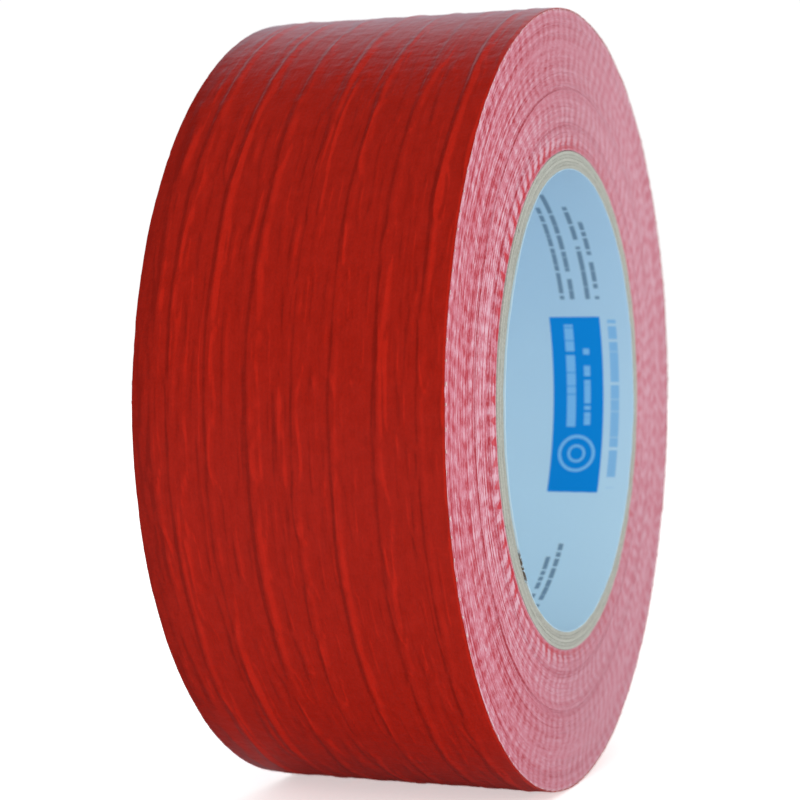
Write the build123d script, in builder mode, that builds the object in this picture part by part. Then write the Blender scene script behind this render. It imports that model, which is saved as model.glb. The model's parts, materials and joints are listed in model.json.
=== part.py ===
"""Roll of duct tape standing on its rim.

The roll's axis is +Y, its centre is the origin and +Z is up.  Angles are seen from the near (-Y) side,
from +X towards +Z.  The tape is wound clockwise seen from that side and ends in a free edge that points
down, on the +X side.
"""
from build123d import *
import os
from math import cos, pi, radians, sin

# Driving dimensions, in millimetres and degrees
bore_diameter = 76.2  # the trade's 3 inch core
tape_width = 48.5
liner_thickness = 0.15
board_thickness = 0.58
board_ply_count = 5
film_thickness = 0.07
cloth_thickness = 0.035
adhesive_thickness = 0.047
wound_turn_count = 149

ply_strip_width = 125.0  # width of the paper strips that are wound into the core
seam_gap = 0.25  # where the edges of one ply's strip nearly meet
liner_seam_turn = 195.0  # turns the liner's seam to the side of the bore away from the free edge
seam_stagger = 67.0  # each ply's seam is turned this far on from the one below

free_edge_angle = -20.0
tail_segment_angle = 9.0
tail_segment_count = 4

# Worked out from them
bore_radius = bore_diameter / 2
liner_radius = bore_radius + liner_thickness
core_radius = liner_radius + board_ply_count * board_thickness
tape_thickness = film_thickness + cloth_thickness + adhesive_thickness
wound_radius = core_radius + wound_turn_count * tape_thickness
peel_angle = free_edge_angle + tail_segment_count * tail_segment_angle
half_turn = 180

# One turn of tape is two half turns of round arc.  The second is centred half a tape's thickness
# towards the free edge and is that much larger, so after a full turn the tape lies on itself.
first_centre = (0, 0)
second_centre = (
    tape_thickness / 2 * cos(radians(free_edge_angle)),
    tape_thickness / 2 * sin(radians(free_edge_angle)),
)
first_radius = wound_radius
second_radius = wound_radius + tape_thickness / 2

# The tape's layers from the sticky side out: how far each begins and ends above the turn below
tape_layers = {
    "adhesive": (0, adhesive_thickness),
    "cloth": (adhesive_thickness, adhesive_thickness + cloth_thickness),
    "film": (adhesive_thickness + cloth_thickness, tape_thickness),
}

near_side = Plane.XZ.offset(tape_width / 2)

os.makedirs("parts", exist_ok=True)


def save(part, name):
    """Label a finished piece and write it under its node's name."""
    part.label = name
    export_step(part, f"parts/{name}.step")


def helix_lead(radius):
    """Length of core in which a strip wound edge to edge at this radius goes once round."""
    turn_length = 2 * pi * radius
    return ply_strip_width * turn_length / (turn_length**2 - ply_strip_width**2) ** 0.5


def core_layer(name, inner_radius, outer_radius, seam_turn):
    """One paper ply of the core: a tube with the helical butt seam of its strip."""
    past_wall = 0.1
    past_end = 2.0
    middle_radius = (inner_radius + outer_radius) / 2
    seam_origin = Vector(0, tape_width / 2 + past_end, 0)
    with BuildPart() as ply:
        with BuildSketch(near_side):
            Circle(outer_radius)
            Circle(inner_radius, mode=Mode.SUBTRACT)
        extrude(amount=-tape_width)
        with BuildLine() as seam:
            Helix(
                helix_lead(middle_radius),
                tape_width + 2 * past_end,
                middle_radius,
                center=seam_origin,
                direction=(0, -1, 0),
            )
        seam_start = Plane(
            origin=seam.line @ 0,
            x_dir=seam.line @ 0 - seam_origin,
            z_dir=seam.line % 0,
        )
        with BuildSketch(seam_start):
            Rectangle(outer_radius - inner_radius + 2 * past_wall, seam_gap)
        sweep(path=seam.line, is_frenet=True, mode=Mode.SUBTRACT)
    save(ply.part.rotate(Axis.Y, -seam_turn), name)


# Core: printed liner paper inside, chipboard plies round it
core_layer("core_liner", bore_radius, liner_radius, liner_seam_turn)
for number in range(1, board_ply_count + 1):
    ply_inner_radius = liner_radius + (number - 1) * board_thickness
    core_layer(
        f"core_ply_{number}",
        ply_inner_radius,
        ply_inner_radius + board_thickness,
        liner_seam_turn + number * seam_stagger,
    )

# Wound turns: everything between the core and the outermost turn
with BuildPart() as wound_turns:
    with BuildSketch(near_side):
        with BuildLine():
            first_half = CenterArc(first_centre, first_radius, free_edge_angle - half_turn, half_turn)
            second_half = CenterArc(second_centre, second_radius, free_edge_angle, half_turn)
            Line(first_half @ 1, second_half @ 0)
        make_face()
        Circle(core_radius, mode=Mode.SUBTRACT)
    extrude(amount=-tape_width)
save(wound_turns.part, "wound_turns")

# Stretches of arc that the outermost turn follows: centre, radius, start angle and angle turned.  It runs
# from the step where it leaves the wound turns round to the peel line.
outer_turn_arcs = [
    (first_centre, first_radius, free_edge_angle - half_turn, half_turn),
    (second_centre, second_radius, peel_angle, free_edge_angle + half_turn - peel_angle),
]

for layer, (bottom, top) in tape_layers.items():
    with BuildPart() as outer_turn:
        for centre, radius, start_angle, arc_size in outer_turn_arcs:
            with BuildSketch(near_side):
                with BuildLine():
                    inner_arc = CenterArc(centre, radius + bottom, start_angle, arc_size)
                    outer_arc = CenterArc(centre, radius + top, start_angle, arc_size)
                    Line(inner_arc @ 0, outer_arc @ 0)
                    Line(inner_arc @ 1, outer_arc @ 1)
                make_face()
            extrude(amount=-tape_width)
    save(outer_turn.part, f"outer_turn_{layer}")

    # Tail: the rest of that turn down to the free edge, in stretches that hinge on each other
    for number in range(1, tail_segment_count + 1):
        segment_start = peel_angle - number * tail_segment_angle
        with BuildPart() as tail_segment:
            with BuildSketch(near_side):
                with BuildLine():
                    inner_arc = CenterArc(
                        second_centre, second_radius + bottom, segment_start, tail_segment_angle
                    )
                    outer_arc = CenterArc(
                        second_centre, second_radius + top, segment_start, tail_segment_angle
                    )
                    Line(inner_arc @ 0, outer_arc @ 0)
                    Line(inner_arc @ 1, outer_arc @ 1)
                make_face()
            extrude(amount=-tape_width)
        save(tail_segment.part, f"tail_{number}_{layer}")
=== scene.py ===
"""Looks of a roll of red duct tape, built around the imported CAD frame.

The roll's axis is Y and its centre the origin.  Angles are seen from the near (-Y) side, from +X towards
+Z.  The tape is wound clockwise from that side, so "wind" angles grow clockwise from the free edge.
"""

import json
import math

import bpy
import numpy as np
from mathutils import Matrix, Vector


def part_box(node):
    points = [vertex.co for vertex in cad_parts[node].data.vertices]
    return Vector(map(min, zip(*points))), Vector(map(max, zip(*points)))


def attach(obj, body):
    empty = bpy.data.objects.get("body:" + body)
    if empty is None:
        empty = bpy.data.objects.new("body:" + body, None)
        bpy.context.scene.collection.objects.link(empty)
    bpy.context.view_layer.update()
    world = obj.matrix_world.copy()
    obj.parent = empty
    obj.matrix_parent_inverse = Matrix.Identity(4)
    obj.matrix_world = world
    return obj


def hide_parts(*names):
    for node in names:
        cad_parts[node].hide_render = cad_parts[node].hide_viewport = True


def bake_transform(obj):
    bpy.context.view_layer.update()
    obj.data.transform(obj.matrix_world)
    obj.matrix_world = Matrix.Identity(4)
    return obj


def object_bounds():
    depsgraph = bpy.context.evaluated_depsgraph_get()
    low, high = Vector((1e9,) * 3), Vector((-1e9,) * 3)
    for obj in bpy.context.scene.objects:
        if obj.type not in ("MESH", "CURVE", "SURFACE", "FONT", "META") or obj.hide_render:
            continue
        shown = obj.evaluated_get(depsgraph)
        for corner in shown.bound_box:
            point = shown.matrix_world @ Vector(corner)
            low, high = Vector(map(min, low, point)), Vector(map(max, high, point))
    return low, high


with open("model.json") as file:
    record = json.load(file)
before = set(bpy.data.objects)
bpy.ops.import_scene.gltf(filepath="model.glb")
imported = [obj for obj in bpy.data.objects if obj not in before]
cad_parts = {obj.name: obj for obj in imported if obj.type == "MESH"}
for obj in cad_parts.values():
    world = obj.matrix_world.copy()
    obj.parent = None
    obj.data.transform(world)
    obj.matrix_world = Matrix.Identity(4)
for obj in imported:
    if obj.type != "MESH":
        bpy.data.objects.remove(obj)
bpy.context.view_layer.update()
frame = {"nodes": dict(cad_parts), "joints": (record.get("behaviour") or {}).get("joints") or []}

MM = 0.001
TURN = 2 * math.pi

# ---------------- sizes read from the frame


def node_radii(name):
    """Smallest and largest distance of a CAD node's corners from the roll's axis."""
    corners = np.array([v.co for v in frame["nodes"][name].data.vertices])
    distance = np.hypot(corners[:, 0], corners[:, 2])
    return distance.min(), distance.max()


joints = frame["joints"]
hinge_angles = [math.atan2(j["pos_m"][2], j["pos_m"][0]) for j in joints]
segment_angle = hinge_angles[0] - hinge_angles[1]
free_edge_angle = hinge_angles[-1] - segment_angle
tail_wind = len(joints) * segment_angle

half_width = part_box("wound_turns")[1].y
bore_radius = node_radii("core_liner")[0]
liner_radius = node_radii("core_liner")[1]
core_radius = node_radii("core_ply_5")[1]
board_plies = 5
board_thickness = (core_radius - liner_radius) / board_plies

# the outer turn starts at its smallest radius and the tail ends at its largest
wound_radius = node_radii("outer_turn_adhesive")[0]
adhesive_thickness = node_radii("outer_turn_cloth")[0] - wound_radius
cloth_thickness = node_radii("outer_turn_film")[0] - node_radii("outer_turn_cloth")[0]
film_thickness = node_radii("tail_4_film")[1] - node_radii("tail_4_cloth")[1]
tape_thickness = adhesive_thickness + cloth_thickness + film_thickness
wound_turns = round((wound_radius - core_radius) / tape_thickness)

# the gauze: yarns along the tape (warp) and across it (weft)
WARP_PITCH = 1.41 * MM
WEFT_PITCH = 3.13 * MM


# ---------------- numbers and noise


def smoothstep(low, high, value):
    """0 below low, 1 above high and a smooth rise between; it falls where low is the larger."""
    share = np.clip((value - low) / (high - low), 0, 1)
    return share * share * (3 - 2 * share)


class Lattice:
    """Smooth random numbers from -1 to 1 on a grid that closes on itself round the roll."""

    def __init__(self, seed, around, across):
        self.values = np.random.default_rng(seed).uniform(-1, 1, (around, across + 3))
        self.around, self.across = around, across

    def at(self, angle, across_share):
        """Value at an angle round the roll and a share, 0 to 1, of the way across."""
        u = np.mod(angle / TURN, 1) * self.around
        v = np.clip(across_share, 0, 1) * self.across
        u_cell, v_cell = np.floor(u).astype(int), np.floor(v).astype(int)
        u_part, v_part = u - u_cell, v - v_cell
        u_part = u_part * u_part * (3 - 2 * u_part)
        v_part = v_part * v_part * (3 - 2 * v_part)
        u_next = (u_cell + 1) % self.around
        u_cell = u_cell % self.around
        low = self.values[u_cell, v_cell] * (1 - u_part) + self.values[u_next, v_cell] * u_part
        high = (
            self.values[u_cell, v_cell + 1] * (1 - u_part)
            + self.values[u_next, v_cell + 1] * u_part
        )
        return low * (1 - v_part) + high * v_part


# ---------------- the tape's surface

NEAR_FALL = 0.04 * MM  # the tread falls away a little at its rims, more broadly at the far one
NEAR_FALL_WIDTH = 0.4 * MM
FAR_FALL = 0.1 * MM
FAR_FALL_WIDTH = 4.5 * MM
RIDGE_PITCH = 6.5 * MM  # the film's straight ridges, left by the roller that laid it on the cloth
FIRST_RIDGE = 3.9 * MM  # from the near rim to the first ridge
NEAR_SLOPE = 0.8 * MM  # a ridge falls gently towards the near rim and steeply away from it
FAR_SLOPE = 0.38 * MM
FINE_RIDGES = 28
SWELL_HEIGHT = 0.02 * MM  # broad, low unevenness
CREASE_HEIGHT = 0.04 * MM
PUCKER_HEIGHT = 0.018 * MM
WEFT_HEIGHT = 0.012 * MM  # the gauze's crosswise yarns, faint under the film


def make_ridges(seed, centres, heights, widths, faintest, spans):
    """Ridges that run round the roll: centre, height, slope widths and the noises that bend them.

    A ridge's height swings between its full value and a faintest share of it, spans times round the roll.
    """
    random = np.random.default_rng(seed)
    ridges = []
    for number, centre in enumerate(centres):
        width = random.uniform(*widths)
        ridges.append(
            {
                "centre": centre,
                "height": random.uniform(*heights),
                "near": NEAR_SLOPE * width,
                "far": FAR_SLOPE * width,
                "wander": Lattice(seed * 100 + number, 10, 1),
                "wave": Lattice(seed * 200 + number, 38, 1),
                "jitter": Lattice(seed * 400 + number, 120, 1),
                "strength": Lattice(seed * 300 + number, spans, 1),
                "faintest": faintest,
            }
        )
    return ridges


main_centres = np.arange(-half_width + FIRST_RIDGE, half_width - 2 * MM, RIDGE_PITCH)
main_centres = main_centres + np.random.default_rng(2).uniform(-0.3, 0.3, len(main_centres)) * MM
fine_centres = np.random.default_rng(4).uniform(-half_width + MM, half_width - MM, FINE_RIDGES)
main_ridges = make_ridges(3, main_centres, (0.12 * MM, 0.18 * MM), (1.0, 1.3), 0.5, 16)
fine_ridges = make_ridges(7, fine_centres, (0.025 * MM, 0.075 * MM), (0.7, 1.3), 0.0, 50)
swell = Lattice(11, 44, 16)
creases = Lattice(13, 52, 30)
puckers = Lattice(14, 230, 44)


def ridge_height(ridge, angle, y, wander, wave):
    """Height that one ridge adds at an angle and y; it wanders slowly and waves finely about its centre."""
    zero = np.zeros_like(angle)
    centre = (
        ridge["centre"]
        + wander * ridge["wander"].at(angle, zero)
        + wave * ridge["wave"].at(angle, zero)
        + 0.3 * wave * ridge["jitter"].at(angle, zero)
    )
    aside = y - centre
    width = np.where(aside < 0, ridge["near"], ridge["far"])
    present = smoothstep(-0.3, 0.6, ridge["strength"].at(angle, zero))
    strength = ridge["faintest"] + (1 - ridge["faintest"]) * present
    return ridge["height"] * strength * np.exp(-((aside / width) ** 2))


def tread_relief(angle, y):
    """Height of the outermost film above its plain cylinder, in metres, never below zero."""
    share = (y + half_width) / (2 * half_width)
    height = np.zeros_like(angle + y)
    for ridge in main_ridges:
        height = height + ridge_height(ridge, angle, y, 0.25 * MM, 0.2 * MM)
    for ridge in fine_ridges:
        height = height + ridge_height(ridge, angle, y, 1.3 * MM, 0.6 * MM)
    height += SWELL_HEIGHT * (1 + swell.at(angle, share))
    height += CREASE_HEIGHT * smoothstep(0.75, 1.0, 1 - np.abs(creases.at(angle, share)))
    height += PUCKER_HEIGHT * (1 + puckers.at(angle, share))
    wefts = round(TURN * wound_radius / WEFT_PITCH)
    height += WEFT_HEIGHT * (1 + np.cos(wefts * angle)) * (1 + swell.at(angle + 1.0, share))
    from_rim = half_width - np.abs(y)
    near_fall = NEAR_FALL * smoothstep(NEAR_FALL_WIDTH, 0, from_rim)
    far_fall = FAR_FALL * smoothstep(FAR_FALL_WIDTH, 0, from_rim)
    fall = np.where(y < 0, near_fall, far_fall)
    return FAR_FALL - fall + height * smoothstep(-3 * MM, 1 * MM, from_rim)


RIM_WANDER = 0.05 * MM
NICK_DEPTH = 0.22 * MM
rim_noises = {side: (Lattice(21 + side, 420, 1), Lattice(31 + side, 60, 1)) for side in (-1, 1)}


def rim_edge(angle, side):
    """Where the outermost turn is cut, on the near (-1) or far (1) side, with its small nicks."""
    fine, broad = rim_noises[side]
    zero = np.zeros_like(angle)
    nick = np.clip(fine.at(angle, zero) - 0.55, 0, 1)
    return side * (half_width + RIM_WANDER * broad.at(angle, zero) - NICK_DEPTH * nick)


def wind_to_angle(wind):
    """Angle round the roll of a wind angle, which grows clockwise from the free edge."""
    return free_edge_angle - wind


def turn_radius(wind):
    """Radius of the surface that the outermost turn is wound on, after a wind angle."""
    return wound_radius + tape_thickness * wind / TURN


def on_roll(angle, radius, y):
    """Points of the roll from arrays of angle, radius and y."""
    return np.stack([radius * np.cos(angle), y + 0 * angle, radius * np.sin(angle)], axis=-1)


# ---------------- mesh helpers


def make_piece(name, points, faces, attributes=(), sharp_deg=38):
    """A smooth-shaded mesh object with named float attributes on its points."""
    mesh = bpy.data.meshes.new(name)
    mesh.from_pydata(np.asarray(points).reshape(-1, 3).tolist(), [], faces)
    mesh.validate()
    for label, values in attributes:
        layer = mesh.attributes.new(label, "FLOAT", "POINT")
        layer.data.foreach_set("value", np.asarray(values, np.float32).ravel())
    mesh.polygons.foreach_set("use_smooth", [True] * len(mesh.polygons))
    mesh.set_sharp_from_angle(angle=math.radians(sharp_deg))
    mesh.update()
    piece = bpy.data.objects.new(name, mesh)
    bpy.context.scene.collection.objects.link(piece)
    return piece


def grid_faces(rows, columns, start=0, flip=False):
    """Quads of a grid of points stored row by row."""
    faces = []
    for row in range(rows - 1):
        for column in range(columns - 1):
            a = start + row * columns + column
            quad = (a, a + 1, a + columns + 1, a + columns)
            faces.append(quad[::-1] if flip else quad)
    return faces


def layer_block(top, bottom):
    """Closed block between two grids of points with the same rows; each may have its own columns."""
    rows, top_columns = top.shape[:2]
    bottom_columns = bottom.shape[1]
    offset = rows * top_columns
    faces = grid_faces(rows, top_columns)
    faces += grid_faces(rows, bottom_columns, offset, flip=True)

    def top_at(row, column):
        return row * top_columns + column

    def bottom_at(row, column):
        return offset + row * bottom_columns + column

    for row in range(rows - 1):
        faces.append((top_at(row, 0), top_at(row + 1, 0), bottom_at(row + 1, 0), bottom_at(row, 0)))
        faces.append(
            (
                top_at(row + 1, top_columns - 1),
                top_at(row, top_columns - 1),
                bottom_at(row, bottom_columns - 1),
                bottom_at(row + 1, bottom_columns - 1),
            )
        )
    for row, forward in ((0, False), (rows - 1, True)):
        loop = [top_at(row, c) for c in range(top_columns)]
        loop += [bottom_at(row, c) for c in reversed(range(bottom_columns))]
        faces.append(tuple(loop if forward else loop[::-1]))
    points = np.concatenate([top.reshape(-1, 3), bottom.reshape(-1, 3)])
    return points, faces


# ---------------- tape pieces

FREE_LIFT = 0.45 * MM  # the free edge stands this far off the roll at rest
LIFT_LENGTH = 7 * MM  # and this much of the tape's end with it
FILM_STEP = 1.1 * MM  # between the film's rows of points
FINE_COLUMN = 0.13 * MM  # between its columns, on the ridges and near the rims
COARSE_COLUMN = 0.34 * MM
SLOPE_STEP = 0.2 * MM  # the slope of the tread is measured over twice this width
COAT_INSET = 0.03 * MM  # the adhesive stops this far inside the rims
YARN_SHARE = 0.46  # height of one yarn, as a share of the cloth's thickness
WARP_WIDTH = 0.26 * MM
WEFT_WIDTH = 0.3 * MM
FRAYED_WIDTH = 0.1 * MM
WEFT_CLEARANCE = 0.2 * MM  # kept between a weft yarn and the ends of its piece
NEAR_TUFTS, FAR_TUFTS = (0.06, 0.26), (0.03, 0.1)  # how far yarn ends stand out of the rims, in mm


def free_lift(wind, y):
    """How far the end of the tail has sprung up at rest."""
    from_edge = (TURN - wind) * wound_radius
    corner = 0.55 + 0.45 * (y / half_width)
    return FREE_LIFT * (0.45 + 0.55 * corner) * (1 - smoothstep(0, LIFT_LENGTH, from_edge)) ** 2


def column_shares(ridged):
    """Shares, -1 to 1, across the width: close together on the ridges and near both rims."""
    if not ridged:
        return np.array([-1.0, 1.0])
    places = [0.0]
    while places[-1] < 2 * half_width:
        y = places[-1] - half_width
        aside = y - main_centres
        on_ridge = np.any((aside > -1.5 * MM) & (aside < 1.2 * MM))
        near_rim = half_width - abs(y) < 0.8 * MM
        places.append(places[-1] + (FINE_COLUMN if on_ridge or near_rim else COARSE_COLUMN))
    return 2 * np.array(places) / places[-1] - 1


def strip_grid(winds, shares, lift, relief=0.0, edge_inset=0.0, sprung=True):
    """Points of one face of a layer, lift above the turn below, with a share of the tread's relief."""
    wind = winds[:, None]
    angle = wind_to_angle(wind)
    share = shares[None, :]
    near, far = rim_edge(angle, -1) + edge_inset, rim_edge(angle, 1) - edge_inset
    y = (near + far) / 2 + share * (far - near) / 2
    radius = turn_radius(wind) + lift + 0 * y
    if relief:
        radius += relief * tread_relief(angle + 0 * y, y)
    if sprung:
        radius += free_lift(wind, y)
    return on_roll(angle + 0 * y, radius, y)


def steps(start, stop, arc_length):
    """Wind angles from start to stop, about arc_length apart on the rim."""
    count = max(2, round((stop - start) * wound_radius / arc_length) + 1)
    return np.linspace(start, stop, count)


def film_piece(name, start, stop, lift, relief=1.0, sprung=True):
    """The red backing film of a stretch of tape, lift above the turn below, with the tread's ridges."""
    winds = steps(start, stop, FILM_STEP)
    top = strip_grid(winds, column_shares(True), lift + film_thickness, relief, sprung=sprung)
    bottom = strip_grid(winds, column_shares(False), lift, sprung=sprung)
    points, faces = layer_block(top, bottom)
    y = top[..., 1]
    angle = wind_to_angle(winds)[:, None] + 0 * y
    rise = tread_relief(angle, y + SLOPE_STEP) - tread_relief(angle, y - SLOPE_STEP)
    slope = np.concatenate([(rise / (2 * SLOPE_STEP)).ravel(), np.zeros(bottom.shape[0] * 2)])
    return make_piece(name, points, faces, [("slope", slope)])


def adhesive_piece(name, start, stop, arc_length, columns):
    """The sticky coat; its lower face shows the gauze when the tape is lifted."""
    winds = steps(start, stop, arc_length)
    top = strip_grid(winds, column_shares(False), adhesive_thickness, edge_inset=COAT_INSET)
    bottom = strip_grid(winds, np.linspace(-1, 1, columns), 0, edge_inset=COAT_INSET)
    points, faces = layer_block(top, bottom)
    return make_piece(name, points, faces)


def yarn(path, across, up, widths, thicknesses):
    """Closed flat yarn along a path of points; across and up are unit vectors at each point."""
    corners = []
    for side, level in ((-1, -1), (1, -1), (1, 1), (-1, 1)):
        corner = path + side * across * widths[:, None] / 2
        corners.append(corner + level * up * thicknesses[:, None] / 2)
    points = np.stack(corners, axis=1).reshape(-1, 3)
    count = len(path)
    faces = []
    for here in range(0, 4 * (count - 1), 4):
        for corner in range(4):
            following = (corner + 1) % 4
            faces.append((here + corner, here + following, here + 4 + following, here + 4 + corner))
    faces.append((3, 2, 1, 0))
    last = 4 * (count - 1)
    faces.append((last, last + 1, last + 2, last + 3))
    return points, faces


def warp_yarns(start, stop, arc_length, random, frayed):
    """Yarns along the tape; at its torn end they run on past the film by different lengths."""
    yarns = []
    count = int(2 * half_width / WARP_PITCH)
    for number in range(count):
        y = (number - (count - 1) / 2) * WARP_PITCH
        end = stop
        if frayed:
            end += random.uniform(0.1, 1.4) * MM / wound_radius
        winds = steps(start, end, arc_length)
        angle = wind_to_angle(winds)
        lift = adhesive_thickness + 0.25 * cloth_thickness
        radius = turn_radius(winds) + lift + free_lift(np.minimum(winds, stop), y)
        up = np.stack([np.cos(angle), 0 * angle, np.sin(angle)], axis=-1)
        widths = np.full(len(winds), WARP_WIDTH)
        if frayed:
            widths[-1] = FRAYED_WIDTH
        heights = np.full(len(winds), YARN_SHARE * cloth_thickness)
        yarns.append(yarn(on_roll(angle, radius, y), np.array([0.0, 1.0, 0.0]), up, widths, heights))
    return yarns


def weft_places(angle, random):
    """Places across the tape of a weft yarn's points; the ends of its tufts stand out of the rims."""
    halves = []
    for side, tufts in ((-1, NEAR_TUFTS), (1, FAR_TUFTS)):
        rim = rim_edge(np.array([angle]), side)[0]
        tuft = random.uniform(*tufts) * MM
        inside = [side * half_width * share for share in (0.3, 0.6, 0.9)]
        halves.append(inside + [rim + side * out for out in (-0.05 * MM, 0.02 * MM, 0.7 * tuft, tuft)])
    near, far = halves
    return np.array([*near[::-1], 0.0, *far])


def weft_yarns(start, stop, random):
    """Yarns across the tape, with a tuft of pulled fibres where the knife cut each end."""
    yarns = []
    clearance = WEFT_CLEARANCE / wound_radius
    first = math.ceil(start * wound_radius / WEFT_PITCH)
    last = math.floor((stop * wound_radius - WEFT_CLEARANCE) / WEFT_PITCH)
    for number in range(first, last + 1):
        wind = (number * WEFT_PITCH + random.uniform(-0.25, 0.25) * MM) / wound_radius
        wind = min(max(wind, start + clearance), stop - clearance)
        angle = wind_to_angle(wind)
        ys = weft_places(angle, random)
        lift = adhesive_thickness + 0.75 * cloth_thickness
        path = on_roll(np.full(len(ys), angle), turn_radius(wind) + lift + free_lift(wind, ys), ys)
        up = np.array([math.cos(angle), 0.0, math.sin(angle)])
        across = np.array([-math.sin(angle), 0.0, math.cos(angle)])
        tuft_width = random.uniform(0.35, 0.75) * MM
        tuft_height = random.uniform(0.1, 0.18) * MM
        widths = np.full(len(ys), WEFT_WIDTH)
        heights = np.full(len(ys), YARN_SHARE * cloth_thickness)
        for tip, middle in ((0, 1), (-1, -2)):
            widths[middle], heights[middle] = tuft_width, tuft_height
            widths[tip], heights[tip] = 0.45 * tuft_width, 0.5 * tuft_height
        yarns.append(yarn(path, across, up, widths, heights))
    return yarns


def gauze_piece(name, start, stop, arc_length, seed, frayed=False):
    """The cloth: flat warp yarns along the tape and weft yarns across it."""
    random = np.random.default_rng(seed)
    yarns = warp_yarns(start, stop, arc_length, random, frayed) + weft_yarns(start, stop, random)
    points, faces, used = [], [], 0
    for yarn_points, yarn_faces in yarns:
        points.append(yarn_points)
        faces += [tuple(corner + used for corner in face) for face in yarn_faces]
        used += len(yarn_points)
    return make_piece(name, np.concatenate(points), faces)


CORE_RECESS = 0.1 * MM  # the first turns lie this far below the end of the core
SUNK = 0.05 * MM  # room under the tail for the film that shows when it is peeled
STEPS_PER_TURN = 160
SHIFTED_GROUPS = 26  # groups of two to seven turns that have shifted sideways together
MOST_SHIFT = 0.25 * MM
SLOW_WAVE, FINE_WAVE = 0.03 * MM, 0.035 * MM  # unevenness along the edge of a turn
VALLEY_DEPTH = 0.035 * MM


def turn_heights(random):
    """How far the edge of each turn stands out of its side: drifting, in groups and one by one."""
    count = wound_turns + 2
    drift = np.cumsum(random.normal(0, 0.022, count)) * MM
    drift -= np.linspace(drift[0], drift[-1], count)
    shift = np.zeros(count)
    for _ in range(SHIFTED_GROUPS):
        first = random.integers(4, wound_turns - 6)
        stop = first + random.integers(2, 8)
        shift[first:stop] += random.uniform(-0.06, 0.07) * MM
    single = random.normal(0, 0.025, count) * MM
    recess = CORE_RECESS * smoothstep(16, 2, np.arange(count))
    return np.clip(drift + shift + single - recess, -MOST_SHIFT, MOST_SHIFT)


def spiral_side(side, heights, angle, valley_radius, crest_radius):
    """Two spirals of points on one side: the valleys between the turns and the crests on them."""
    crests = len(crest_radius)
    crest_angle = angle[:crests]
    turn = np.arange(crests) / STEPS_PER_TURN
    whole = np.floor(turn).astype(int)
    ease = smoothstep(0.9, 1.0, turn - whole)
    crest = heights[whole] * (1 - ease) + heights[whole + 1] * ease
    crest += SLOW_WAVE * Lattice(41 + side, 24, 12).at(crest_angle, turn / wound_turns)
    crest += FINE_WAVE * Lattice(51 + side, 110, 75).at(crest_angle, turn / wound_turns)
    outside = np.full(len(angle), np.inf)
    outside[:crests] = crest
    inside = np.full(len(angle), np.inf)
    inside[STEPS_PER_TURN : STEPS_PER_TURN + crests] = crest
    valley = np.minimum(outside, inside) - VALLEY_DEPTH
    return [
        on_roll(angle, valley_radius, side * (half_width + valley)),
        on_roll(crest_angle, crest_radius, side * (half_width + crest)),
    ]


def wound_piece():
    """The inner turns: both sides show every turn as a ripple, and groups of turns stand proud."""
    random = np.random.default_rng(5)
    total = (wound_turns + 1) * STEPS_PER_TURN
    crests = wound_turns * STEPS_PER_TURN
    index = np.arange(total + 1)
    angle = wind_to_angle(TURN * index / STEPS_PER_TURN)
    spiral_radius = core_radius + tape_thickness * index / STEPS_PER_TURN
    crest_radius = spiral_radius[: crests + 1] + tape_thickness / 2
    under_tail = index > (wound_turns + 1 - tail_wind / TURN) * STEPS_PER_TURN
    valley_radius = spiral_radius - SUNK * under_tail
    points = []
    for side in (-1, 1):
        points += spiral_side(side, turn_heights(random), angle, valley_radius, crest_radius)

    per_side = total + 1 + crests + 1
    faces = []

    def valley_at(side, i):
        return side * per_side + i

    def crest_at(side, i):
        return side * per_side + total + 1 + i

    def join(quad, flip):
        faces.append(quad[::-1] if flip else quad)

    for side in (0, 1):
        for i in range(crests):
            crest_step = (crest_at(side, i), crest_at(side, i + 1))
            join((valley_at(side, i), valley_at(side, i + 1), *crest_step[::-1]), side == 0)
            out = i + STEPS_PER_TURN
            join((*crest_step, valley_at(side, out + 1), valley_at(side, out)), side == 0)
    # the bore and the outermost surface
    for start, flip in ((0, False), (crests, True)):
        for i in range(start, start + STEPS_PER_TURN):
            join((valley_at(0, i), valley_at(0, i + 1), valley_at(1, i + 1), valley_at(1, i)), flip)
    # the tape's cut ends, at the core and at the outermost turn
    for start, flip in ((0, True), (crests, False)):
        out = start + STEPS_PER_TURN
        join((valley_at(0, start), crest_at(0, start), crest_at(1, start), valley_at(1, start)), flip)
        join((crest_at(0, start), valley_at(0, out), valley_at(1, out), crest_at(1, start)), flip)
    return make_piece("wound_tape", np.concatenate(points), faces, sharp_deg=16)


# ---------------- core pieces

PLY_STRIP_WIDTH = 125 * MM
SEAM_GAP = 0.25 * MM
BOARD_PROUD = 0.16 * MM  # how far the plies stand out of the near end, on one side
LINER_PROUD = 0.4 * MM  # and the liner
PROUD_ANGLE = math.radians(178)
LOOSE_ANGLE = math.radians(221.5)  # here the liner has come unstuck and the first ply is torn back
LOOSE_HALF_SPAN = math.radians(6.5)
LOOSE_GAP = 0.1 * MM
TORN_DEPTH = 0.35 * MM
LINER_SEAM_TURN = math.radians(195)
SEAM_STAGGER = math.radians(67)
PLY_COLUMNS = 360
CORNER_LENGTH = 0.12 * MM  # the cut ends are rounded over this length


def seam_angle(radius, y, turned):
    """Angle of a ply's helical seam at y; it starts under the roll, past the far end."""
    around = TURN * radius
    lead = PLY_STRIP_WIDTH * around / math.sqrt(around**2 - PLY_STRIP_WIDTH**2)
    past_end = 2 * MM
    return -TURN / 4 + turned + TURN * (half_width + past_end - y) / lead


def stand_out(points, most):
    """Push the near end of a tube out by up to most, on the side of PROUD_ANGLE."""
    x, y, z = np.moveaxis(points, -1, 0)
    aside = np.abs(np.mod(np.arctan2(z, x), TURN) - PROUD_ANGLE)
    share = smoothstep(math.radians(62), math.radians(25), aside)
    return np.stack([x, y - most * share * smoothstep(4 * MM, 0, y + half_width), z], axis=-1)


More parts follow.
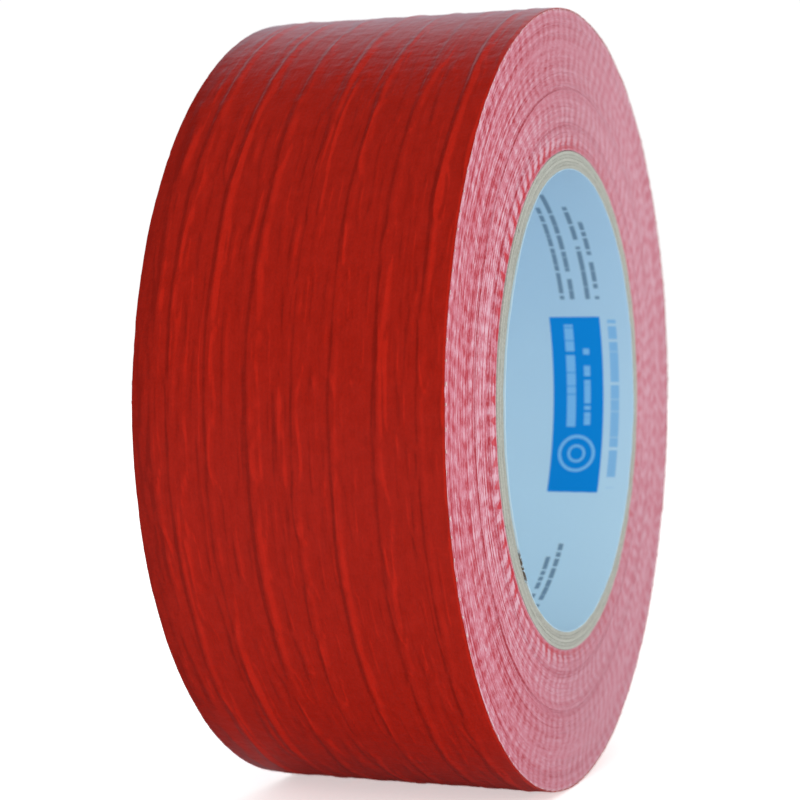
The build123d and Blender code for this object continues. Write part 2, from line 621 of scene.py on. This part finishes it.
def looseness(points):
    """1 at the near end where the liner has come unstuck, 0 away from there."""
    x, y, z = np.moveaxis(points, -1, 0)
    aside = np.abs(np.mod(np.arctan2(z, x), TURN) - LOOSE_ANGLE)
    return smoothstep(LOOSE_HALF_SPAN, 0.4 * LOOSE_HALF_SPAN, aside) * smoothstep(5 * MM, 0, y + half_width)


def shape_liner(points):
    """The liner stands out further than the board, and stands off it where it has come unstuck."""
    x, y, z = np.moveaxis(stand_out(points, LINER_PROUD), -1, 0)
    scale = 1 - LOOSE_GAP * looseness(points) / np.hypot(x, z)
    return np.stack([x * scale, y, z * scale], axis=-1)


def shape_first_ply(points):
    """The first ply stands out with the board, but is torn back where the liner has come unstuck."""
    shaped = stand_out(points, BOARD_PROUD)
    shaped[..., 1] += TORN_DEPTH * looseness(points)
    return shaped


def shape_other_ply(points):
    """The other plies only stand out on one side."""
    return stand_out(points, BOARD_PROUD)


def ply_piece(name, inner, outer, turned, seed, end_wave, round_off, reshape):
    """One paper ply of the core: a tube open along its helical seam, with soft cut ends."""
    middle = (inner + outer) / 2
    from_end = np.array([0, 0.05, 0.15, 0.5, 1.5]) * MM
    between = np.linspace(-half_width + 4 * MM, half_width - 4 * MM, 15)
    lengthwise = np.concatenate([-half_width + from_end, between, half_width - from_end[::-1]])
    share = np.linspace(0, 1, PLY_COLUMNS)[None, :]
    gap_angle = SEAM_GAP / middle
    y = lengthwise[:, None] + 0 * share
    angle = seam_angle(middle, y, turned) + gap_angle / 2 + share * (TURN - gap_angle)
    inside_end = half_width - np.abs(y)
    end_shift = np.zeros_like(y)
    for side in (-1, 1):
        wave = Lattice(seed + side, 130, 1).at(angle, 0 * angle)
        wave = wave + 0.8 * Lattice(seed + 7 + side, 22, 1).at(angle, 0 * angle)
        end_shift += np.where(np.sign(y) == side, side * end_wave * wave, 0)
    corner = round_off * np.clip(1 - inside_end / CORNER_LENGTH, 0, 1) ** 2
    shifted = y + end_shift * smoothstep(2 * MM, 0, inside_end) - np.sign(y) * corner
    outer_face = on_roll(angle, outer - corner, shifted)
    inner_face = on_roll(angle, inner + corner, shifted)
    points, faces = layer_block(reshape(outer_face), reshape(inner_face))
    outer_share = np.concatenate([np.ones(y.size), np.zeros(y.size)])
    return make_piece(name, points, faces, [("outer_face", outer_share)], sharp_deg=50)


# ---------------- materials


# the red film's painted shaded and painted lit tones; its ridges are coloured between them by their slope
FILM_SHADED, FILM_LIT = (0.232, 0.0044, 0.0002), (0.455, 0.0092, 0.0008)
SIDE_RED, SIDE_PINK, SIDE_WHITE = (0.41, 0.045, 0.065), (0.54, 0.185, 0.24), (0.64, 0.39, 0.46)
SPOT_RED = (0.50, 0.035, 0.05)
YARN_SHADE, YARN_WHITE = (0.56, 0.40, 0.42), (0.80, 0.70, 0.71)
COAT_DARK, COAT_LIGHT, COAT_OVER_YARN = (0.62, 0.30, 0.31), (0.74, 0.44, 0.44), (0.86, 0.74, 0.73)
BOARD_DARK, BOARD_LIGHT = (0.28, 0.29, 0.25), (0.46, 0.475, 0.43)
# painted light: the outermost ply's tone is raised to offset the shade where it meets the first turns
BOARD_TONES = (1.0, 0.92, 1.06, 0.95, 1.04)  # one for each ply, from the bore outwards
# the liner paper's tones, painted shaded at the top of the bore and painted lit at its bottom, and its bare
# back
PAPER_SHADED, PAPER_LIT, PAPER_BACK = (0.365, 0.55, 0.70), (0.485, 0.69, 0.81), (0.46, 0.63, 0.73)
DARK_INK, PALE_INK = (0.085, 0.16, 0.24), (0.08, 0.35, 0.68)
BLOCK_INK, SIGN_INK = (0.0, 0.225, 0.64), (0.22, 0.52, 0.82)
# glue, dark enough to be partly painted shade
GLUE_AND_GAP_SHADE = (0.13, 0.10, 0.08)
BLACK = (0.0, 0.0, 0.0)


class Graph:
    """Short ways to add nodes to a node tree; a value may be a number or another node's output."""

    def __init__(self, tree):
        self.tree = tree

    def link(self, value, socket):
        """Give a socket another node's output, a colour or a number."""
        if isinstance(value, bpy.types.NodeSocket):
            self.tree.links.new(value, socket)
        elif isinstance(value, tuple):
            socket.default_value = (*value, 1.0)
        else:
            socket.default_value = value

    def math(self, operation, first, second=0.0, clamp=False):
        node = self.tree.nodes.new("ShaderNodeMath")
        node.operation = operation
        node.use_clamp = clamp
        self.link(first, node.inputs[0])
        self.link(second, node.inputs[1])
        return node.outputs[0]

    def plus(self, total, *values):
        for value in values:
            total = self.math("ADD", total, value)
        return total

    def times(self, product, *values):
        for value in values:
            product = self.math("MULTIPLY", product, value)
        return product

    def most(self, largest, *values):
        for value in values:
            largest = self.math("MAXIMUM", largest, value)
        return largest

    def weighted(self, total, *terms):
        """The total plus each term's value times its weight."""
        for value, weight in terms:
            total = self.plus(total, self.times(value, weight))
        return total

    def vector(self, x, y, z):
        node = self.tree.nodes.new("ShaderNodeCombineXYZ")
        for socket, value in zip(node.inputs, (x, y, z)):
            self.link(value, socket)
        return node.outputs[0]

    def noise(self, vector, scale=1.0, detail=2.0, rough=0.5, offset=0.0):
        """Smooth noise, about 0.2 to 0.8; each offset gives another pattern."""
        node = self.tree.nodes.new("ShaderNodeTexNoise")
        node.noise_dimensions = "4D"
        self.link(vector, node.inputs["Vector"])
        node.inputs["W"].default_value = offset
        node.inputs["Scale"].default_value = scale
        node.inputs["Detail"].default_value = detail
        node.inputs["Roughness"].default_value = rough
        return node.outputs["Fac"]

    def between(self, value, low, high, to_low=0.0, to_high=1.0):
        """A smooth change from to_low, where the value is low, to to_high, where it is high."""
        node = self.tree.nodes.new("ShaderNodeMapRange")
        node.interpolation_type = "SMOOTHSTEP"
        for socket, number in zip(node.inputs, (value, low, high, to_low, to_high)):
            self.link(number, socket)
        return node.outputs[0]

    def mix(self, share, first, second):
        """The first colour, with a share of the second one."""
        node = self.tree.nodes.new("ShaderNodeMix")
        node.data_type = "RGBA"
        self.link(share, node.inputs[0])
        self.link(first, node.inputs[6])
        self.link(second, node.inputs[7])
        return node.outputs[2]

    def attribute(self, name):
        node = self.tree.nodes.new("ShaderNodeAttribute")
        node.attribute_name = name
        return node.outputs["Fac"]

    def dot(self, first, second):
        node = self.tree.nodes.new("ShaderNodeVectorMath")
        node.operation = "DOT_PRODUCT"
        self.link(first, node.inputs[0])
        self.link(second, node.inputs[1])
        return node.outputs["Value"]

    def given(self, node_type, output):
        """What Blender knows about the point or ray being shaded."""
        return self.tree.nodes.new(node_type).outputs[output]


class Surface(Graph):
    """A new material, with the places round the roll that it can use."""

    def __init__(self, name):
        self.material = bpy.data.materials.new(name)
        self.material.use_nodes = True
        super().__init__(self.material.node_tree)
        self.shader = self.tree.nodes["Principled BSDF"]
        self.place = self.given("ShaderNodeTexCoord", "Object")
        split = self.tree.nodes.new("ShaderNodeSeparateXYZ")
        self.link(self.place, split.inputs[0])
        self.x, self.y, self.z = split.outputs
        self.radius = self.math("SQRT", self.plus(self.times(self.x, self.x), self.times(self.z, self.z)))
        self.unit_x = self.math("DIVIDE", self.x, self.radius)
        self.unit_z = self.math("DIVIDE", self.z, self.radius)
        self.angle = self.math("ARCTAN2", self.z, self.x)

    def bump(self, height, distance, strength=1.0):
        """Relief too fine for the mesh."""
        node = self.tree.nodes.new("ShaderNodeBump")
        node.inputs["Strength"].default_value = strength
        node.inputs["Distance"].default_value = distance
        self.link(height, node.inputs["Height"])
        self.link(node.outputs[0], self.shader.inputs["Normal"])

    def finish(self, colour, roughness, specular=0.5):
        self.link(colour, self.shader.inputs["Base Color"])
        self.link(roughness, self.shader.inputs["Roughness"])
        self.link(specular, self.shader.inputs["Specular IOR Level"])
        return self.material


def film_material():
    """Red polyethylene film: satin, faintly streaked along the tape, with small crosswise crinkles."""
    g = Surface("red_film")

    def stretched(around, across, offset, detail=2.0):
        """Noise with around features per radian round the roll and across per metre of width."""
        vector = g.vector(g.times(g.unit_x, around), g.times(g.y, across), g.times(g.unit_z, around))
        return g.noise(vector, detail=detail, rough=0.55, offset=offset)

    streak = stretched(9.0, 1300.0, 0.0, 3.0)
    patch = stretched(30.0, 480.0, 3.0)
    crinkle = stretched(15.0, 2100.0, 5.0)
    grain = g.noise(g.place, scale=2600.0, offset=7.0)
    # painted light and shade: a ridge is painted pale on its gentle near side, which faces the light, and
    # dark on its steep far side, which faces away from it
    slope = g.attribute("slope")
    share = g.plus(g.between(slope, -0.16, 0.0, 0.08, 0.42), g.between(slope, 0.03, 0.13, 0.0, 0.42))
    share = g.plus(share, g.between(streak, 0.3, 0.7, -0.06, 0.06), g.between(patch, 0.3, 0.7, -0.06, 0.06))
    # painted shade: the film is darker towards the far rim, where the tread falls away from the light
    share = g.math("SUBTRACT", share, g.between(g.y, half_width - FAR_FALL_WIDTH, half_width, 0.0, 0.3))
    share = g.math("ADD", share, g.times(g.plus(grain, -0.5), 0.5), clamp=True)
    g.bump(g.weighted(0.0, (crinkle, 0.7), (patch, 2.0), (grain, 0.08)), 0.07 * MM)
    return g.finish(g.mix(share, FILM_SHADED, FILM_LIT), g.weighted(0.25, (patch, 0.12)), 0.2)


def wound_material():
    """The cut side of the turns: red film, white yarn ends and pink adhesive, smeared by the knife.

    Facets that face outwards show the red backs of the turns, patterned by the yarn ends, and facets
    that face inwards show their pale sticky faces, so the side looks different from each direction.
    """
    g = Surface("wound_tape")
    depth = g.math("DIVIDE", g.math("SUBTRACT", g.radius, core_radius), MM)
    rim_depth = (wound_radius - core_radius) / MM
    side_seed = g.times(g.math("SIGN", g.y), 7.3)

    def stretched(arc, radial, offset, low=0.3, high=0.7):
        """Noise from -0.5 to 0.5 whose features are about arc long round the roll and radial wide, in mm."""
        around = 52.0 / arc
        across = g.plus(g.math("DIVIDE", depth, radial), side_seed)
        vector = g.vector(g.times(g.unit_x, around), across, g.times(g.unit_z, around))
        return g.between(g.noise(vector, offset=offset), low, high, -0.5, 0.5)

    def arms(middle, bend):
        """Yarn ends of neighbouring turns line up into arcs; their number round the roll is whole."""
        count = round((core_radius + middle * MM) * TURN / WEFT_PITCH)
        away = g.math("SUBTRACT", depth, middle)
        phase = g.plus(g.times(g.angle, float(count)), g.times(wobble, 3.5), g.times(away, away, bend))
        return g.times(g.math("SINE", phase), g.between(g.math("ABSOLUTE", away), 4.4, 1.5))

    wobble = stretched(10.0, 5.0, 1.0)
    # the pattern is softer at the top and bottom than at the sides, as in the photograph
    # partly painted shade: the pattern, most of all its thin ring lines, is painted stronger at the sides,
    # standing in for the shade of the turns' steps that the light grazes there
    crisp = g.between(g.math("ABSOLUTE", g.unit_x), 0.3, 0.95, 0.45, 1.0)
    flecks = g.times(stretched(1.5, 0.36, 2.0), crisp)
    blobs = g.times(stretched(1.9, 1.5, 6.0), crisp)
    lines = g.times(stretched(20.0, 0.34, 3.0, 0.36, 0.64), crisp)
    long_lines = g.times(stretched(80.0, 0.9, 4.0), crisp)
    grain = stretched(0.5, 0.2, 5.0)
    moire = g.plus(arms(6.5, -0.2), arms(13.5, 0.26), arms(20.5, -0.24))
    g.bump(g.weighted(0.0, (flecks, 0.5), (lines, 0.4), (grain, 0.15)), 0.06 * MM)

    # next to the core the pattern is strong: red spots with pale patches between their tips
    spot_count = float(round(TURN * core_radius / WEFT_PITCH))
    spots = g.math("SINE", g.plus(g.times(g.angle, spot_count), g.times(wobble, 1.6)))
    strength = g.between(stretched(16.0, 6.0, 8.0), -0.35, 0.3, 0.4, 1.0)
    narrowing = g.between(depth, 0.0, 4.2, 0.0, 1.1)
    red = g.times(g.between(g.math("SUBTRACT", spots, narrowing), 0.0, 0.3), g.between(depth, 3.8, 2.8))
    first_turn = g.times(g.between(depth, 0.35, 0.55), g.between(depth, 1.0, 0.8), 0.5)
    red = g.times(g.math("MAXIMUM", red, first_turn), g.between(depth, 0.1, 0.4), strength)
    white = g.times(g.between(spots, 0.1, -0.8), g.between(depth, 0.5, 1.4), g.between(depth, 5.0, 3.4))
    white = g.times(white, strength)
    # the outermost turns are paler, where the knife has pulled yarn ends out
    ragged = g.times(g.between(depth, rim_depth - 0.5, rim_depth - 0.1), g.between(blobs, -0.5, 0.5))

    pattern = ((moire, 0.14), (flecks, 0.46), (blobs, 0.2), (lines, 0.56), (long_lines, 0.3), (grain, 0.3))
    backs = g.weighted(0.58, *pattern, (ragged, 0.3), (white, 0.5), (g.between(depth, 7.0, 15.0), -0.12))
    faces = g.weighted(0.72, (moire, 0.07), (blobs, 0.2), (flecks, 0.08), (long_lines, 0.12), (ragged, 0.2))
    facing = g.given("ShaderNodeNewGeometry", "True Normal")
    outward = g.dot(facing, g.vector(g.unit_x, 0.0, g.unit_z))
    pale = g.weighted(faces, (g.math("SUBTRACT", backs, faces), g.between(outward, -0.15, 0.15)))
    # where a turn stands clear of the one outside it, its red back shows as a line; the line is also painted
    # darker as the shade of its step, more at the sides than at the top and bottom
    pale = g.plus(pale, g.times(g.between(outward, 0.5, 0.85), crisp, -0.3))
    colour = g.mix(g.between(pale, 0.0, 0.5), SIDE_RED, SIDE_PINK)
    colour = g.mix(g.between(pale, 0.5, 1.0), colour, SIDE_WHITE)
    colour = g.mix(g.times(red, g.between(outward, -0.15, 0.15, 0.3, 0.9)), colour, SPOT_RED)
    colour = g.mix(g.between(outward, -0.15, 0.15, 0.13, 0.0), colour, BLACK)
    return g.finish(colour, 0.65, 0.15)


def cloth_material():
    """White cotton and polyester yarn."""
    g = Surface("gauze_cloth")
    fibres = g.noise(g.place, scale=6000.0, detail=3.0)
    g.bump(fibres, 0.04 * MM, 0.8)
    return g.finish(g.mix(fibres, YARN_SHADE, YARN_WHITE), 0.85, 0.2)


def adhesive_material():
    """Pink rubber adhesive with the gauze showing through as a pale grid."""
    g = Surface("rubber_adhesive")
    wobble = g.noise(g.place, scale=300.0)
    tack = g.noise(g.place, scale=1800.0, detail=3.0, offset=2.0)
    warp = g.math("PINGPONG", g.plus(g.math("DIVIDE", g.y, WARP_PITCH), g.times(wobble, 0.35)), 0.5)
    along = g.times(g.angle, wound_radius / WEFT_PITCH)
    weft = g.math("PINGPONG", g.plus(along, g.times(wobble, 0.3)), 0.5)
    grid = g.math("MAXIMUM", g.between(warp, 0.33, 0.42), g.between(weft, 0.42, 0.46))
    colour = g.mix(g.times(grid, 0.75), g.mix(tack, COAT_DARK, COAT_LIGHT), COAT_OVER_YARN)
    g.bump(g.weighted(grid, (tack, 0.7)), 0.06 * MM, 0.8)
    return g.finish(colour, g.weighted(0.28, (tack, 0.2)))


def board_material(number):
    """Grey recycled chipboard; plies differ a little, the outermost one's tone is raised as painted light
    against the shade beside the first turns, and their cut ends are fuzzy.
    """
    g = Surface(f"chipboard_{number}")
    fibre = g.noise(g.place, scale=2600.0, detail=4.0, rough=0.65, offset=number)
    blotch = g.noise(g.place, scale=260.0, offset=number + 9.0)
    shade = g.weighted(0.0, (g.between(fibre, 0.3, 0.7), 0.6), (blotch, 0.4))
    dark, light = (tuple(BOARD_TONES[number - 1] * c for c in grey) for grey in (BOARD_DARK, BOARD_LIGHT))
    g.bump(fibre, 0.12 * MM, 0.9)
    return g.finish(g.mix(shade, dark, light), 0.9, 0.2)


# the print, in mm: arcs along the bore from the middle of the print, and places across it from mid-width
LETTER = 0.8
HALF_ROW = 0.42
SMALL_PRINT = (  # middle of the row, where it starts and stops, and the seed of its dashes
    (-12.1, 18.6, 41.0, 10.0),
    (-14.0, 18.6, 45.5, 11.0),
    (-16.9, 18.6, 41.0, 12.0),
    (-18.7, 18.6, 36.5, 13.0),
    (-12.0, -44.4, -32.2, 20.0),
    (-13.75, -48.5, -29.0, 21.0),
)
BLOCK = ((-18.0, 15.1), (-18.65, -9.1))
RINGS_MIDDLE = (-10.5, -13.9)
RINGS = ((2.9, 3.5), (1.2, 1.7))


def liner_print(g, colour):
    """The paper's colour with its print on it: rows of dashes, and a blue block with a plain roll sign."""
    # the print repeats on the bore's other half
    quarter = TURN / 4
    half = g.plus(g.math("FLOORED_MODULO", g.plus(g.angle, quarter), 2 * quarter), -quarter)
    arc = g.times(half, bore_radius / MM)
    across = g.math("DIVIDE", g.y, MM)

    def bar(value, low, high, soft=0.12):
        """1 from low to high, with soft edges."""
        rise = g.between(value, low - soft, low + soft)
        return g.times(rise, g.between(value, high + soft, high - soft))

    def dashes(start, stop, low, high, letter, seed, least=0.36):
        """A row of dashes that only looks like text."""
        letters = g.noise(g.vector(g.times(arc, 1.0 / letter), seed, 0.0), detail=0.0)
        words = g.noise(g.vector(g.times(arc, 0.22 / letter), seed + 5.0, 0.0), detail=0.0)
        ink = g.times(g.between(letters, least, least + 0.06), g.between(words, 0.34, 0.38))
        return g.times(ink, g.times(bar(arc, start, stop), bar(across, low, high)))

    small_print = 0.0
    for row, start, stop, seed in SMALL_PRINT:
        line = dashes(start, stop, row - HALF_ROW, row + HALF_ROW, LETTER, seed)
        small_print = g.most(small_print, line)
    colour = g.mix(g.times(small_print, 0.8), colour, DARK_INK)
    colour = g.mix(g.times(dashes(-17.0, 14.5, -21.6, -20.0, 1.0, 30.0), 0.6), colour, PALE_INK)
    colour = g.mix(g.times(bar(arc, *BLOCK[0]), bar(across, *BLOCK[1])), colour, BLOCK_INK)
    # on the block: a ring within a ring, like a roll seen end on, and two rows of dashes
    aside, above = (g.plus(place, -middle) for place, middle in zip((arc, across), RINGS_MIDDLE))
    distance = g.math("SQRT", g.plus(g.times(aside, aside), g.times(above, above)))
    rings = [bar(distance, inner, outer, 0.08) for inner, outer in RINGS]
    title = dashes(-5.5, 13.6, -13.4, -11.7, 1.25, 40.0)
    subtitle = dashes(-5.5, 9.0, -16.2, -15.0, 1.0, 41.0, 0.4)
    return g.mix(g.times(g.most(*rings, title, subtitle), 0.8), colour, SIGN_INK)


def liner_material():
    """Pale blue printed paper, bare on its outer face and along its cut edge."""
    g = Surface("liner_paper")
    fibre = g.noise(g.place, scale=1500.0, detail=4.0, rough=0.6)
    cloud = g.noise(g.place, scale=90.0, offset=4.0)
    # painted light: the paper is painted paler towards the bottom of the bore, whose inside faces up to the
    # light, and darker towards its top
    shade = g.weighted(g.between(g.unit_z, 0.95, -0.95, -0.17, 0.83), (fibre, 0.15), (cloud, 0.2))
    colour = liner_print(g, g.mix(shade, PAPER_SHADED, PAPER_LIT))
    outer_face = g.between(g.attribute("outer_face"), 0.35, 0.7)
    colour = g.mix(outer_face, colour, PAPER_BACK)
    # dark glue where it has come unstuck, its darkness partly painted shade of the gap behind the liner
    aside = g.math("ABSOLUTE", g.plus(g.angle, TURN - LOOSE_ANGLE))
    near = g.between(aside, LOOSE_HALF_SPAN, 0.5 * LOOSE_HALF_SPAN)
    colour = g.mix(g.times(outer_face, near, g.between(fibre, 0.42, 0.5)), colour, GLUE_AND_GAP_SHADE)
    g.bump(fibre, 0.03 * MM, 0.5)
    return g.finish(colour, 0.5, 0.1)


# ---------------- building the object


def dress(piece, material, body, slot, *nodes):
    """Give a piece its material and body, and the CAD nodes it stands for."""
    piece.data.materials.append(material)
    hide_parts(*nodes)
    if body:
        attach(piece, body)


red_film, cloth, adhesive = film_material(), cloth_material(), adhesive_material()
film_lift = adhesive_thickness + cloth_thickness


def tape_layers(name, suffix, winds, gauze_step, coat_step, coat_columns, seed, frayed=False):
    """Film, gauze and adhesive of a stretch of tape: node ending, piece, material and slot of each."""
    film = film_piece(f"{name}_film{suffix}", *winds, film_lift)
    gauze = gauze_piece(f"{name}_gauze{suffix}", *winds, gauze_step, seed, frayed)
    coat = adhesive_piece(f"{name}_adhesive{suffix}", *winds, coat_step, coat_columns)
    return (
        ("film", film, red_film, "red_film"),
        ("cloth", gauze, cloth, "gauze_cloth"),
        ("adhesive", coat, adhesive, "rubber_adhesive"),
    )


dress(wound_piece(), wound_material(), "roll", "wound_tape", "wound_turns")

liner = ply_piece(
    "liner_paper_tube", bore_radius, liner_radius, LINER_SEAM_TURN, 60, 0.06 * MM, 0.03 * MM, shape_liner
)
dress(liner, liner_material(), "roll", "liner_paper", "core_liner")
for number in range(1, board_plies + 1):
    inner = liner_radius + (number - 1) * board_thickness
    ply = ply_piece(
        f"board_tube_{number}",
        inner,
        inner + board_thickness,
        LINER_SEAM_TURN + number * SEAM_STAGGER,
        70 + 10 * number,
        0.05 * MM,
        0.09 * MM,
        shape_first_ply if number == 1 else shape_other_ply,
    )
    dress(ply, board_material(number), "roll", "grey_chipboard", f"core_ply_{number}")

# the outermost turn doesn't bend, so its gauze and adhesive need fewer points than the tail's
peel_wind = TURN - tail_wind
for layer, piece, material, slot in tape_layers("tread", "", (0, peel_wind), 3.3 * MM, 1.2 * MM, 2, 91):
    dress(piece, material, "roll", slot, f"outer_turn_{layer}")

# the film of the turn below, which shows when the tail is peeled; pressed flat by the tape on it
below = film_piece("film_below_tail", peel_wind, TURN, -0.9 * SUNK - film_thickness, 0.12, sprung=False)
dress(below, red_film, "roll", "red_film", "wound_turns")

for number, joint in enumerate(joints, start=1):
    start = peel_wind + (number - 1) * segment_angle
    stop = start + segment_angle
    torn = number == len(joints)
    layers = tape_layers("tail", f"_{number}", (start, stop), 0.9 * MM, 0.8 * MM, 60, 91 + number, torn)
    for layer, piece, material, slot in layers:
        dress(piece, material, None, slot, f"tail_{number}_{layer}")
        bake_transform(piece)


# ---------------- stage, light and camera


FLOOR_REACH = 4.0
FLOOR_LIGHT, FLOOR_SEEN = 0.34, 0.18  # its own glow, and what is added to it where the camera sees it
ROOM_LIGHT = (0.66, 0.82)  # strength from below and from above
FAR_WALL = (0.03, 1.05)  # strength in reflections, away from the wall and on it
SEEN_WHITE = 1.02  # strength where the camera sees past the floor
WHITE, COOL_WHITE = (1.0, 1.0, 1.0), (0.84, 0.86, 1.0)


def make_floor():
    """A plain pale floor, dark in reflections as in the photograph, but for what lies under the roll."""
    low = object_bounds()[0].z
    corners = [(FLOOR_REACH * x, FLOOR_REACH * y, low) for x, y in ((-1, -1), (1, -1), (1, 1), (-1, 1))]
    mesh = bpy.data.meshes.new("floor")
    mesh.from_pydata(corners, [], [(0, 1, 2, 3)])
    floor = bpy.data.objects.new("floor", mesh)
    bpy.context.scene.collection.objects.link(floor)
    g = Surface("pale_floor")
    glossy = g.given("ShaderNodeLightPath", "Is Glossy Ray")
    seen = g.given("ShaderNodeLightPath", "Is Camera Ray")
    pale = g.mix(g.noise(g.place, scale=30.0), (0.93, 0.93, 0.93), (0.95, 0.95, 0.95))
    under_roll = g.between(g.x, -0.7 * wound_radius, -0.15 * wound_radius)
    mirrored = g.mix(under_roll, (0.06, 0.06, 0.07), (0.42, 0.42, 0.45))
    glow = g.weighted(FLOOR_LIGHT, (seen, FLOOR_SEEN))
    g.link(WHITE, g.shader.inputs["Emission Color"])
    g.link(g.times(glow, g.math("SUBTRACT", 1.0, glossy)), g.shader.inputs["Emission Strength"])
    material = g.finish(g.mix(glossy, pale, mirrored), 0.9, 0.1)
    material.cycles.emission_sampling = "NONE"
    mesh.materials.append(material)


def make_world():
    """White surroundings: plain white to the camera, softer as light, and a far white wall in reflections."""
    world = bpy.data.worlds.new("studio")
    bpy.context.scene.world = world
    world.use_nodes = True
    g = Graph(world.node_tree)
    outward = g.given("ShaderNodeTexCoord", "Generated")
    glossy = g.given("ShaderNodeLightPath", "Is Glossy Ray")
    seen = g.given("ShaderNodeLightPath", "Is Camera Ray")

    def toward(direction, low, high, dark, bright):
        """A strength that grows smoothly towards a direction."""
        return g.between(g.dot(outward, g.vector(*Vector(direction).normalized())), low, high, dark, bright)

    soft_light = toward((-0.2, -0.3, 1), -0.6, 1.0, *ROOM_LIGHT)
    far_wall = toward((0.93, 0.36, 0.08), 0.44, 0.9, *FAR_WALL)
    strength = g.between(glossy, 0.0, 1.0, soft_light, far_wall)
    strength = g.between(seen, 0.0, 1.0, strength, SEEN_WHITE)
    background = g.tree.nodes["Background"]
    g.link(strength, background.inputs["Strength"])
    g.link(g.mix(glossy, WHITE, COOL_WHITE), background.inputs["Color"])
    world.cycles.sampling_method = "NONE"


def make_softbox(name, location, size, power):
    """A square light that points at the roll."""
    light = bpy.data.lights.new(name, "AREA")
    light.shape = "SQUARE"
    light.size = size
    light.energy = power
    box = bpy.data.objects.new(name, light)
    box.location = location
    box.rotation_mode = "QUATERNION"
    box.rotation_quaternion = (-Vector(location)).to_track_quat("-Z", "Y")
    bpy.context.scene.collection.objects.link(box)


def make_camera():
    """The camera stands beside the roll, almost level, and looks mostly at the tread."""
    azimuth, elevation = math.radians(-69.11), math.radians(0.91)
    distance = 363.6 * MM
    aside, above = -6.34 * MM, -0.07 * MM
    level = math.cos(elevation)
    back = Vector((math.sin(azimuth) * level, -math.cos(azimuth) * level, math.sin(elevation)))
    right = Vector((math.cos(azimuth), math.sin(azimuth), 0))
    focus = bpy.data.objects.new("focus", None)
    focus.location = (-0.7 * wound_radius, -half_width, 0)
    bpy.context.scene.collection.objects.link(focus)
    camera_data = bpy.data.cameras.new("camera")
    camera_data.sensor_width = 36.0
    camera_data.lens = 96.3
    camera_data.clip_start = 0.01
    camera_data.dof.use_dof = True
    camera_data.dof.focus_object = focus
    camera_data.dof.aperture_fstop = 42
    camera = bpy.data.objects.new("camera", camera_data)
    camera.location = back * distance + right * aside + back.cross(right) * above
    camera.rotation_mode = "QUATERNION"
    camera.rotation_quaternion = (-back).to_track_quat("-Z", "Y")
    bpy.context.scene.collection.objects.link(camera)
    bpy.context.scene.camera = camera


make_floor()
make_world()
make_softbox("key", (-0.6, -1.1, 0.2), 0.4, 5.6)
make_camera()
bpy.context.scene.view_settings.view_transform = "Standard"
